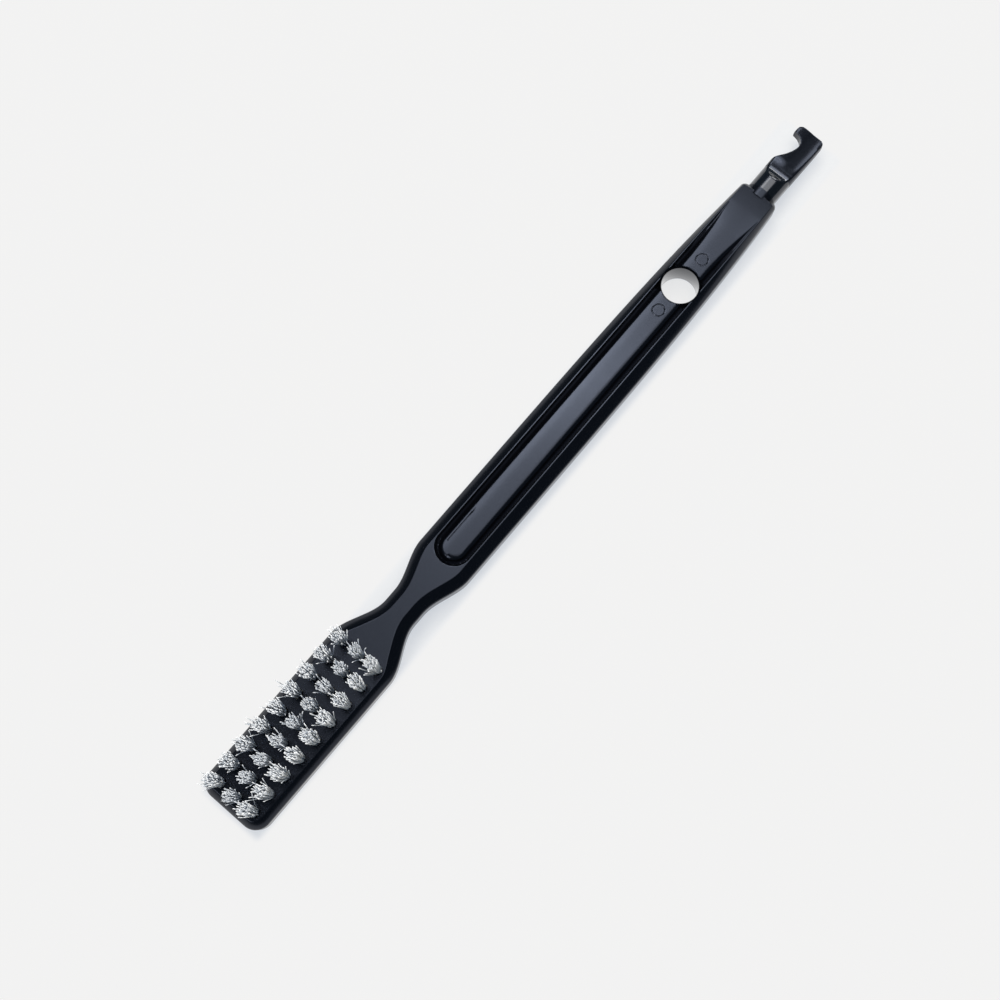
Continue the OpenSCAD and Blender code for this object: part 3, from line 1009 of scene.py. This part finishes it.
    def blade_outline(self, x: Array) -> tuple[Array, Array]:
        """Outline of the shank and hook.

        The throat's slope falls to its floor by a power of the way left, the hook's inner side
        rises from there by a rounded power, and the outer corners are arcs.

        Args:
            x: stations along the brush.

        Returns:
            The highest and the lowest y at each station.
        """
        r, c = self.shank_radius, self.blade_corner
        point = self.length - self.hook_point
        start, floor = point - self.throat_length, self.throat_back - r
        bottom = point - self.throat_floor_share * self.throat_length
        fall = np.clip((bottom - x) / (bottom - start), 0.0, 1.3)
        rise = np.maximum((x - bottom) / (point - self.hook_lip - bottom), 0.0)
        slope = floor + (r - self.throat_lip - floor) * fall ** self.throat_powers[0]
        climb = np.sqrt(np.maximum(1 - np.minimum(rise, 1.0) ** self.throat_powers[1], 0.0))
        side = np.where(rise >= 1.0, r + 1.0, floor + (r - floor) * (1 - climb))
        into = np.clip(x - (self.length - c), 0.0, c)
        cut = c - np.sqrt(np.maximum(c * c - into * into, 0.0))
        return np.minimum(np.where(x < bottom, slope, side), r - cut), cut - r

    def blade_faces(self, x: Array) -> tuple[Array, Array]:
        """Flat faces of the blade: a hollow arc from the shank, then a slow straight taper.

        Args:
            x: stations along the brush.

        Returns:
            The height of the top and of the underside at each station.
        """
        run = np.clip((x - self.blade_start) / self.blade_length, 0.0, 1.0)
        before = np.maximum(self.blade_start - x, 0.0)
        clear = 9.0

        def scoop(drop: float) -> Array:
            """Height of an arc that starts level at the blade.

            Args:
                drop: height at which the arc meets the shank's side.

            Returns:
                The height at each station, well clear of the shank past the arc's end.
            """
            radius = (self.scoop_length**2 + drop**2) / (2 * drop)
            reach = np.minimum(before, radius * 0.999)
            return radius - np.sqrt(radius**2 - reach**2) + np.where(before > radius, clear, 0.0)

        tip = self.blade_tip / 2
        top, under = (mix(start, end, run) + scoop(self.shank_radius - start)
                      for start, end in ((self.blade_top, tip + self.tip_rise),
                                         (self.blade_under, tip - self.tip_rise)))
        return self.axis_z + top, self.axis_z - under

    def hook_points(self) -> Array:
        """Points of the shank and hook: a section at each station, a radius in every direction.

        The radius is a soft least of the round rod's and of the distances to the four flat sides,
        (sum of d^-p)^(-1/p), so that all edges are rounded.

        Returns:
            One closed ring for each station, and one that is a single point at each end.
        """
        end, r, c = self.length, self.shank_radius, self.end_round
        point = end - self.hook_point
        x = spread([self.tail - 2.0, self.blade_start - 5.0, self.blade_start, point - 2.2,
                    point + 0.3, end - self.blade_corner, end - c, end],
                   [8, 26, 34, 56, 6, 18, 10])
        angle = np.linspace(0.0, 2 * np.pi, 120, endpoint=False)
        high, low = self.blade_outline(x)
        top, under = self.blade_faces(x)
        rim = np.clip(x - (end - c), 0.0, c)
        shrink = c - np.sqrt(np.maximum(c * c - rim * rim, 0.0))
        high, low, top, under = high - shrink, low + shrink, top - shrink, under + shrink
        yc = (np.minimum(high, r) + np.maximum(low, -r)) / 2
        yc = np.clip(yc, -self.section_reach, self.section_reach)
        zc = (np.minimum(top, self.height) + np.maximum(under, 0.0)) / 2
        cos, sin = np.cos(angle)[None], np.sin(angle)[None]
        yc, zc = yc[:, None], zc[:, None]
        dz = zc - self.axis_z
        across = yc * cos + dz * sin
        rod = -across + np.sqrt(np.maximum(across**2 - (yc**2 + dz**2 - r * r), 0.0))
        tiny, far, least = 1e-6, 50.0, 0.02

        def side(distance: Array, along: Array) -> Array:
            """Distance to a flat side in each direction, or far off where it isn't met."""
            return np.where(along > tiny, distance[:, None] / np.maximum(along, tiny), far)

        gaps = np.stack([rod, side(high - yc[:, 0], cos), side(yc[:, 0] - low, -cos),
                         side(top - zc[:, 0], sin), side(zc[:, 0] - under, -sin)])
        power = self.edge_sharpness
        radius = (np.maximum(gaps, least) ** -power).sum(0) ** (-1 / power)
        y, rise = yc + radius * cos, radius * sin
        on_top = ease(rise / np.maximum((top - zc[:, 0])[:, None], tiny))
        on_blade = ease((x - self.blade_start) / self.dish_start)[:, None]
        z = zc + rise + self.dish(y) * on_top * on_blade
        ring = np.stack([np.broadcast_to(x[:, None], radius.shape), y, z], -1)
        first, last = (np.broadcast_to(one.mean(1, keepdims=True), (1, len(angle), 3))
                       for one in (ring[:1], ring[-1:]))
        return np.concatenate([first, ring, last])

    def dish(self, y: Array) -> Array:
        """Height of the blade's face over its lowest line.

        A wide parabola, v^2 / 2R, goes over into a fall in slope that levels out by the throat.

        Args:
            y: distances from the middle line.

        Returns:
            The height at each point.
        """
        low_side, high_side = self.dish_sides
        v = np.clip(y - self.dish_low, -low_side, high_side)
        past = np.clip(y - self.dish_low - high_side, 0.0, self.dish_level)
        level = high_side * past - high_side / (2 * self.dish_level) * past**2
        return (v * v / 2 + level) / self.dish_radius - self.dish_sink

    def build(self) -> bpy.types.Object:
        """Builds the body, joins the shank and hook, and cuts the hanging hole and tuft holes.

        Returns:
            The finished handle.
        """
        shift = np.array([self.shift, 0.0, 0.0])
        skin, hook = self.body_points(), self.hook_points()
        piece = new_piece("handle_moulding", skin + shift,
                          grid_quads(*skin.shape[:2], ring_rows=True), WELD)
        rod = new_piece("hook_tool", hook + shift,
                        grid_quads(*hook.shape[:2], ring_columns=True), WELD)
        combine(piece, rod, Fit.JOIN)
        combine(piece, self.hole_tool(), Fit.CUT)
        combine(piece, self.tuft_tool(), Fit.CUT)
        smooth(piece, self.sharp_angle)
        piece.data.materials.clear()
        piece.data.materials.append(self.finish.material())
        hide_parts("handle")
        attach(piece, "root")
        return piece

    def hole_tool(self) -> bpy.types.Object:
        """Builds the hanging hole's bore, with a rounded slope at each mouth.

        Returns:
            The closed tool.
        """
        mouth = [(self.hole_radius + out * self.hole_bevel, down * self.hole_bevel)
                 for out, down in self.hole_mouth]
        over = [(r, self.height - self.collar_drop - depth) for r, depth in mouth]
        profile = [(mouth[-1][0], -1.0), *reversed(mouth), *over, (over[-1][0], self.height + 1.0)]
        return lathe("hole_tool", profile, [(self.hole_centre + self.shift, 0.0)], 128)

    def tuft_places(self) -> list[tuple[str, float, float]]:
        """Works out where the tufts stand.

        Returns:
            Name, x and y of each tuft, by row and column, in the row frame.
        """
        pitch = (self.head_full - 2 * self.tuft_margin) / (self.tuft_columns - 1)
        rows = self.head_width / 2 - self.tuft_margin
        start = self.tuft_margin
        return [(f"{row}{column + 1}", start + column * pitch + self.shift, (1 - k) * rows)
                for k, row in enumerate("abc") for column in range(self.tuft_columns)]

    def tuft_tool(self) -> bpy.types.Object:
        """Builds all blind tuft holes.

        Returns:
            One piece that holds a rod for each hole.
        """
        places = [(x, y) for _, x, y in self.tuft_places()]
        r = self.tuft_hole_radius
        profile = [(r, self.height - self.tuft_hole_depth), (r, self.height + 1.0)]
        return lathe("tuft_tool", profile, places, 32)


# The bristles


@dataclass
class Tufts:
    """Nylon tufts: each filament bends outwards from its hole to its trimmed tip. Millimetres."""

    handle: Handle
    filaments: int = 66
    thickness: float = 0.23
    root_radius: float = 1.04
    tip_radii: Triple = (1.85, 1.5, 1.8)
    reach_power: float = 0.9
    reach_swing: Pair = (0.86, 1.12)
    trim: float = 12.0
    trim_swing: float = 0.25
    trim_over: float = 0.2
    sunk: float = 1.6
    rings: int = 7
    sides: int = 4
    turn: float = 0.4
    leans: Triple = (0.2, 0.0, 0.5)
    # Painted shade: the middle row's filaments take darker tones, as the rows beside it shade it.
    painted_row_shade: Triple = (1.0, 0.4, 1.0)
    turn_swing: float = 0.12
    tip_swing: float = 0.1
    bow_swing: float = 0.1
    bend_powers: Pair = (1.0, 1.5)
    bend_loss: float = 0.75
    stray_share: float = 0.11
    stray_reach: Pair = (1.15, 1.9)
    stray_extra: float = 0.4
    seed: int = 27
    finish: NylonFilament = field(default_factory=NylonFilament)

    def paths(self, rng: np.random.Generator, row: int) -> tuple[Array, Array]:
        """Middle lines of one tuft's filaments.

        Roots follow a sunflower pattern. A filament leaves its hole upright, and its sideways reach
        grows as a power of its height. Strays reach further and so end lower.

        Args:
            rng: seeded random numbers.
            row: the tuft row, from 0.

        Returns:
            Points of every filament about the tuft's own foot, and a shade for each: a random tone,
            scaled by the row's painted shade.
        """
        n = self.filaments
        i = np.arange(n)
        golden = np.pi * (3 - math.sqrt(5))
        angle = i * golden + rng.uniform(0, 2 * np.pi) + rng.normal(0, self.turn_swing, n)
        share = np.sqrt((i + 0.5) / n)
        out = np.stack([np.cos(angle), np.sin(angle)], -1)
        root = out * (self.root_radius * share)[:, None]
        reach = self.tip_radii[row] * share**self.reach_power * rng.uniform(*self.reach_swing, n)
        stray = rng.random(n) < self.stray_share
        reach = np.where(stray, reach * rng.uniform(*self.stray_reach, n) + self.stray_extra, reach)
        tip = out * reach[:, None] + rng.normal(0, self.tip_swing, (n, 2))
        tip[:, 1] += self.leans[row]
        u = np.linspace(0.0, 1.0, self.rings)[None, :, None]
        bow = rng.normal(0, self.bow_swing, (n, 2))[:, None] * np.sin(np.pi * u)
        power = rng.uniform(*self.bend_powers, n)[:, None, None]
        flat = root[:, None] + (tip - root)[:, None] * u**power + bow * u
        sideways = np.linalg.norm(tip - root, axis=1)
        length = self.trim + rng.normal(0, self.trim_swing, n)
        height = np.sqrt(np.maximum(length**2 - (self.bend_loss * sideways) ** 2, 1.0))
        height = np.minimum(height, self.trim + self.trim_over)
        z = mix(-self.sunk, height[:, None, None], u)
        lines = np.concatenate([flat, np.broadcast_to(z, flat.shape[:2] + (1,))], -1)
        # The row's painted shade darkens the middle row's tones.
        return lines, rng.random(n) * self.painted_row_shade[row]

    def tubes(self, paths: Array) -> tuple[Array, Array]:
        """Sweeps a small polygon along each path, level at every ring, and closes both ends.

        Args:
            paths: middle lines, one row of points each.

        Returns:
            All points, and the quads, whose two end caps per filament are single quads.
        """
        turn = np.linspace(0.0, 2 * np.pi, self.sides, endpoint=False) + self.turn
        rim = np.stack([np.cos(turn), np.sin(turn), 0 * turn], -1) * self.thickness / 2
        points = paths[:, :, None, :] + rim[None, None]
        wall = grid_quads(self.rings, self.sides, ring_columns=True)[:, ::-1]
        rim_numbers = np.arange(self.sides)
        caps = [rim_numbers[::-1], (self.rings - 1) * self.sides + rim_numbers]
        one = np.concatenate([wall, np.array(caps)])
        size = self.rings * self.sides
        faces = (one[None] + (np.arange(len(paths)) * size)[:, None, None]).reshape(-1, 4)
        return points.reshape(-1, 3), faces

    def build(self) -> list[bpy.types.Object]:
        """Builds one piece for each tuft, held inside the object's box.

        Returns:
            The pieces, by row and column.
        """
        rng = np.random.default_rng(self.seed)
        material = self.finish.material()
        pieces = []
        for name, x, y in self.handle.tuft_places():
            paths, shade = self.paths(rng, "abc".index(name[0]))
            points, faces = self.tubes(paths)
            points = points + np.array([x, y, self.handle.height])
            low, high = (np.array(c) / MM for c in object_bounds())
            points = np.clip(points, low, high)
            piece = new_piece(f"filaments_{name}", points, faces)
            rise = np.tile(np.repeat(np.linspace(0, 1, self.rings), self.sides), len(paths))
            self.tag(piece, "shade", np.repeat(shade, self.rings * self.sides))
            self.tag(piece, "rise", rise)
            piece.data.materials.append(material)
            piece.data.shade_smooth()
            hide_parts(f"tuft_{name}")
            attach(piece, "root")
            pieces.append(piece)
        return pieces

    @staticmethod
    def tag(piece: bpy.types.Object, name: str, values: Array) -> None:
        """Stores one number per point on a piece."""
        attribute = piece.data.attributes.new(name, "FLOAT", "POINT")
        attribute.data.foreach_set("value", values.astype(np.float32))


@dataclass
class Anchors:
    """The flat wires that hold the tufts, which keep their shape from the frame."""

    finish: DrawnWire = field(default_factory=DrawnWire)

    def dress(self) -> None:
        """Gives the anchors their finish."""
        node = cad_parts["tuft_anchors"]
        node.data.materials.clear()
        node.data.materials.append(self.finish.material())


# The studio


@dataclass(frozen=True)
class SoftLight:
    """A rectangular soft light that faces a point. Metres, watts."""

    name: str
    place: Triple
    aim: Triple
    size: Pair
    power: float
    colour: Triple

    def build(self) -> None:
        """Hangs the light."""
        light = bpy.data.lights.new(self.name, "AREA")
        light.shape = "RECTANGLE"
        light.size, light.size_y = self.size
        light.energy, light.color = self.power, self.colour
        lamp = bpy.data.objects.new(self.name, light)
        bpy.context.scene.collection.objects.link(lamp)
        lamp.location = self.place
        way = Vector(self.aim) - Vector(self.place)
        lamp.rotation_euler = way.to_track_quat("-Z", "Y").to_euler()


@dataclass
class Studio:
    """Pale floor, soft lights and the camera of the photograph. Metres."""

    camera_place: Triple = (-0.07141, -0.05845, 0.35621)
    camera_aim: Triple = (-0.01287, 0.00034, 0.0)
    picture_up: float = 40.17
    lens: float = 54.0
    sensor: float = 36.0
    floor_half: float = 1.6
    floor_lines: int = 25
    floor_drop: float = 0.00002
    floor_colour: Colour = (0.98, 0.91, 0.79, 1.0)
    floor_light: Colour = (0.888, 0.888, 0.888, 1.0)
    # Painted shadow tint: floor_shade is the cool, dimmer tone of the floor's own light next to the
    # brush, and the warm floor colour balances it where the floor is lit.
    floor_shade: Colour = (0.78, 0.825, 0.90, 1.0)
    cloud_scale: float = 6.0
    cloud_share: float = 0.05
    foot: Pair = (0.110, 0.0078)
    hole: Pair = (0.0557, 0.0048)
    glow_under: float = 0.70
    glow_away: float = 0.985
    # Painted light in the hanging hole: there the floor glows more and takes its lit tone, which
    # lifts the shadow under the hole.
    glow_in_hole: float = 0.86
    light_in_hole: float = 0.8
    shadow_reach: float = 0.0022
    world_colour: Colour = (0.5, 0.76, 1.0, 1.0)
    world_strength: float = 0.12
    lamp_colour: Triple = (1.0, 0.985, 0.95)
    panel_height: float = 1.0
    panel_step: float = 0.006
    panels: tuple[tuple[str, Pair, Pair, float], ...] = (
        ("panel_wide", (-0.10, -0.46), (0.66, 0.68), 1.5),
        ("panel_middle", (0.06, -0.40), (0.60, 0.66), 1.3),
        ("panel_upper", (0.05, 0.30), (0.62, 0.70), 2.2),
        ("panel_core", (0.245, -0.10), (0.325, 0.64), 6.0),
        ("panel_hook", (0.70, 0.28), (0.95, 0.72), 6.0))
    end_lights: tuple[tuple[str, Triple, float], ...] = (
        ("left_end", (-0.9, 0.12, 0.95), 5.6), ("right_end", (1.6, 0.12, 0.95), 9.0))
    end_size: Pair = (0.6, 0.6)

    def build(self) -> None:
        """Sets up the floor, the lights, the world and the camera."""
        self.floor()
        self.lights()
        self.world()
        self.camera()
        bpy.context.scene.view_settings.view_transform = "Standard"

    def floor(self) -> None:
        """Lays a flat floor of quads that grow outwards: pale, faintly uneven, clear from below.
        Its own light carries a painted cool tint in the shadow next to the brush and a painted
        light in the hanging hole.
        """
        across = np.linspace(-1.0, 1.0, self.floor_lines)
        across = np.sign(across) * across**2 * self.floor_half / MM
        x, y = np.meshgrid(across, across, indexing="ij")
        piece = new_piece("floor", np.stack([x, y, 0 * x - self.floor_drop / MM], -1),
                          grid_quads(self.floor_lines, self.floor_lines))
        material = bpy.data.materials.new("pale_floor")
        sheet = Sheet(material)
        seen = sheet.rays("Is Camera Ray", "Is Glossy Ray", "Is Transmission Ray")
        cloud = sheet.noise(sheet.place(), self.cloud_scale)
        base = sheet.blend(cloud * self.cloud_share, self.floor_colour, grey(0.8))
        coat = sheet.node("ShaderNodeBsdfPrincipled", {}, {
            "Base Color": base, "Roughness": 0.9, "Specular IOR Level": 0.0})
        share, away = self.glow(sheet)
        # Next to the brush the floor's own light takes floor_shade, a painted cool tint in the
        # shadow.
        glow = sheet.node("ShaderNodeEmission", {}, {
            "Color": sheet.blend(away, self.floor_shade, self.floor_light), "Strength": 1.0})
        top = sheet.node("ShaderNodeMixShader", {}, {0: seen * share, 1: coat, 2: glow})
        below = sheet.node("ShaderNodeNewGeometry", {}, {}, "Backfacing")
        clear = sheet.node("ShaderNodeBsdfTransparent", {}, {"Color": (1.0, 1.0, 1.0, 1.0)})
        sheet.finish(sheet.node("ShaderNodeMixShader", {}, {0: below, 1: top, 2: clear}))
        piece.data.materials.append(material)
        piece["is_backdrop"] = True

    def glow(self, sheet: Sheet) -> tuple[Wire, Wire]:
        """Share of the floor's own light, which is low at the brush so that its shadow stays.

        It grows by a smooth step of the distance from the brush's footprint. In the hanging hole it
        is high, a painted light that lifts the shadow under the hole.

        Args:
            sheet: the floor's nodes.

        Returns:
            The share, and how far from the brush a point is, both from 0 to 1.
        """
        x, y = sheet.axes(sheet.place())
        beyond = (x.math("ABSOLUTE") - self.foot[0]).math("MAXIMUM", 0.0)
        beside = (y.math("ABSOLUTE") - self.foot[1]).math("MAXIMUM", 0.0)
        away = (beyond * beyond + beside * beside).math("SQRT") / self.shadow_reach
        soft = away.clamp()
        soft = soft * soft * (3.0 - soft * 2.0)
        level = soft * (self.glow_away - self.glow_under) + self.glow_under
        # Painted light: the floor in the hanging hole glows more than its shadow allows.
        inside = sheet.disc(x, y, self.hole)
        share = level * (1.0 - inside) + inside * self.glow_in_hole
        return share, (soft + inside * self.light_in_hole).clamp()

    def lights(self) -> None:
        """Hangs the overhead panels, brighter towards their core, and a soft light off each end."""
        for level, (name, low, high, glow) in enumerate(self.panels):
            size = (high[0] - low[0], high[1] - low[1])
            middle = ((low[0] + high[0]) / 2, (low[1] + high[1]) / 2)
            place = (*middle, self.panel_height - self.panel_step * level)
            SoftLight(name, place, (*middle, 0.0), size, math.pi * glow * size[0] * size[1],
                      self.lamp_colour).build()
        for name, place, power in self.end_lights:
            SoftLight(name, place, (0.0, 0.0, 0.0), self.end_size, power, self.lamp_colour).build()

    def world(self) -> None:
        """Fills the room with a faint cool light, behind which the camera sees a pale wall."""
        world = bpy.data.worlds.new("room")
        bpy.context.scene.world = world
        sheet = Sheet(world)
        seen = sheet.rays("Is Camera Ray", "Is Transmission Ray")
        room = sheet.node("ShaderNodeBackground", {}, {
            "Color": self.world_colour, "Strength": self.world_strength})
        wall = sheet.node("ShaderNodeBackground", {}, {
            "Color": self.floor_light, "Strength": 1.0})
        sheet.finish(sheet.node("ShaderNodeMixShader", {}, {0: seen, 1: room, 2: wall}),
                     "ShaderNodeOutputWorld")

    def camera(self) -> None:
        """Sets the camera by its place, its aim on the floor and the floor direction that is up."""
        data = bpy.data.cameras.new("camera")
        data.lens, data.sensor_width = self.lens, self.sensor
        camera = bpy.data.objects.new("camera", data)
        bpy.context.scene.collection.objects.link(camera)
        ahead = (Vector(self.camera_aim) - Vector(self.camera_place)).normalized()
        turn = math.radians(self.picture_up)
        right = ahead.cross(Vector((math.cos(turn), math.sin(turn), 0.0))).normalized()
        up = right.cross(ahead)
        axes = Matrix((right, up, -ahead)).transposed().to_4x4()
        camera.matrix_world = Matrix.Translation(self.camera_place) @ axes
        bpy.context.scene.camera = camera


def main() -> None:
    """Builds and dresses the brush, then the studio."""
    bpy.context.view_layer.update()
    handle = Handle()
    LOG.info("handle: %s", handle.build().name)
    for piece in Tufts(handle).build():
        LOG.info("tuft: %s", piece.name)
    Anchors().dress()
    LOG.info("anchors dressed")
    Studio().build()


if __name__ == "__main__":
    logging.basicConfig(level=logging.INFO)
    main()
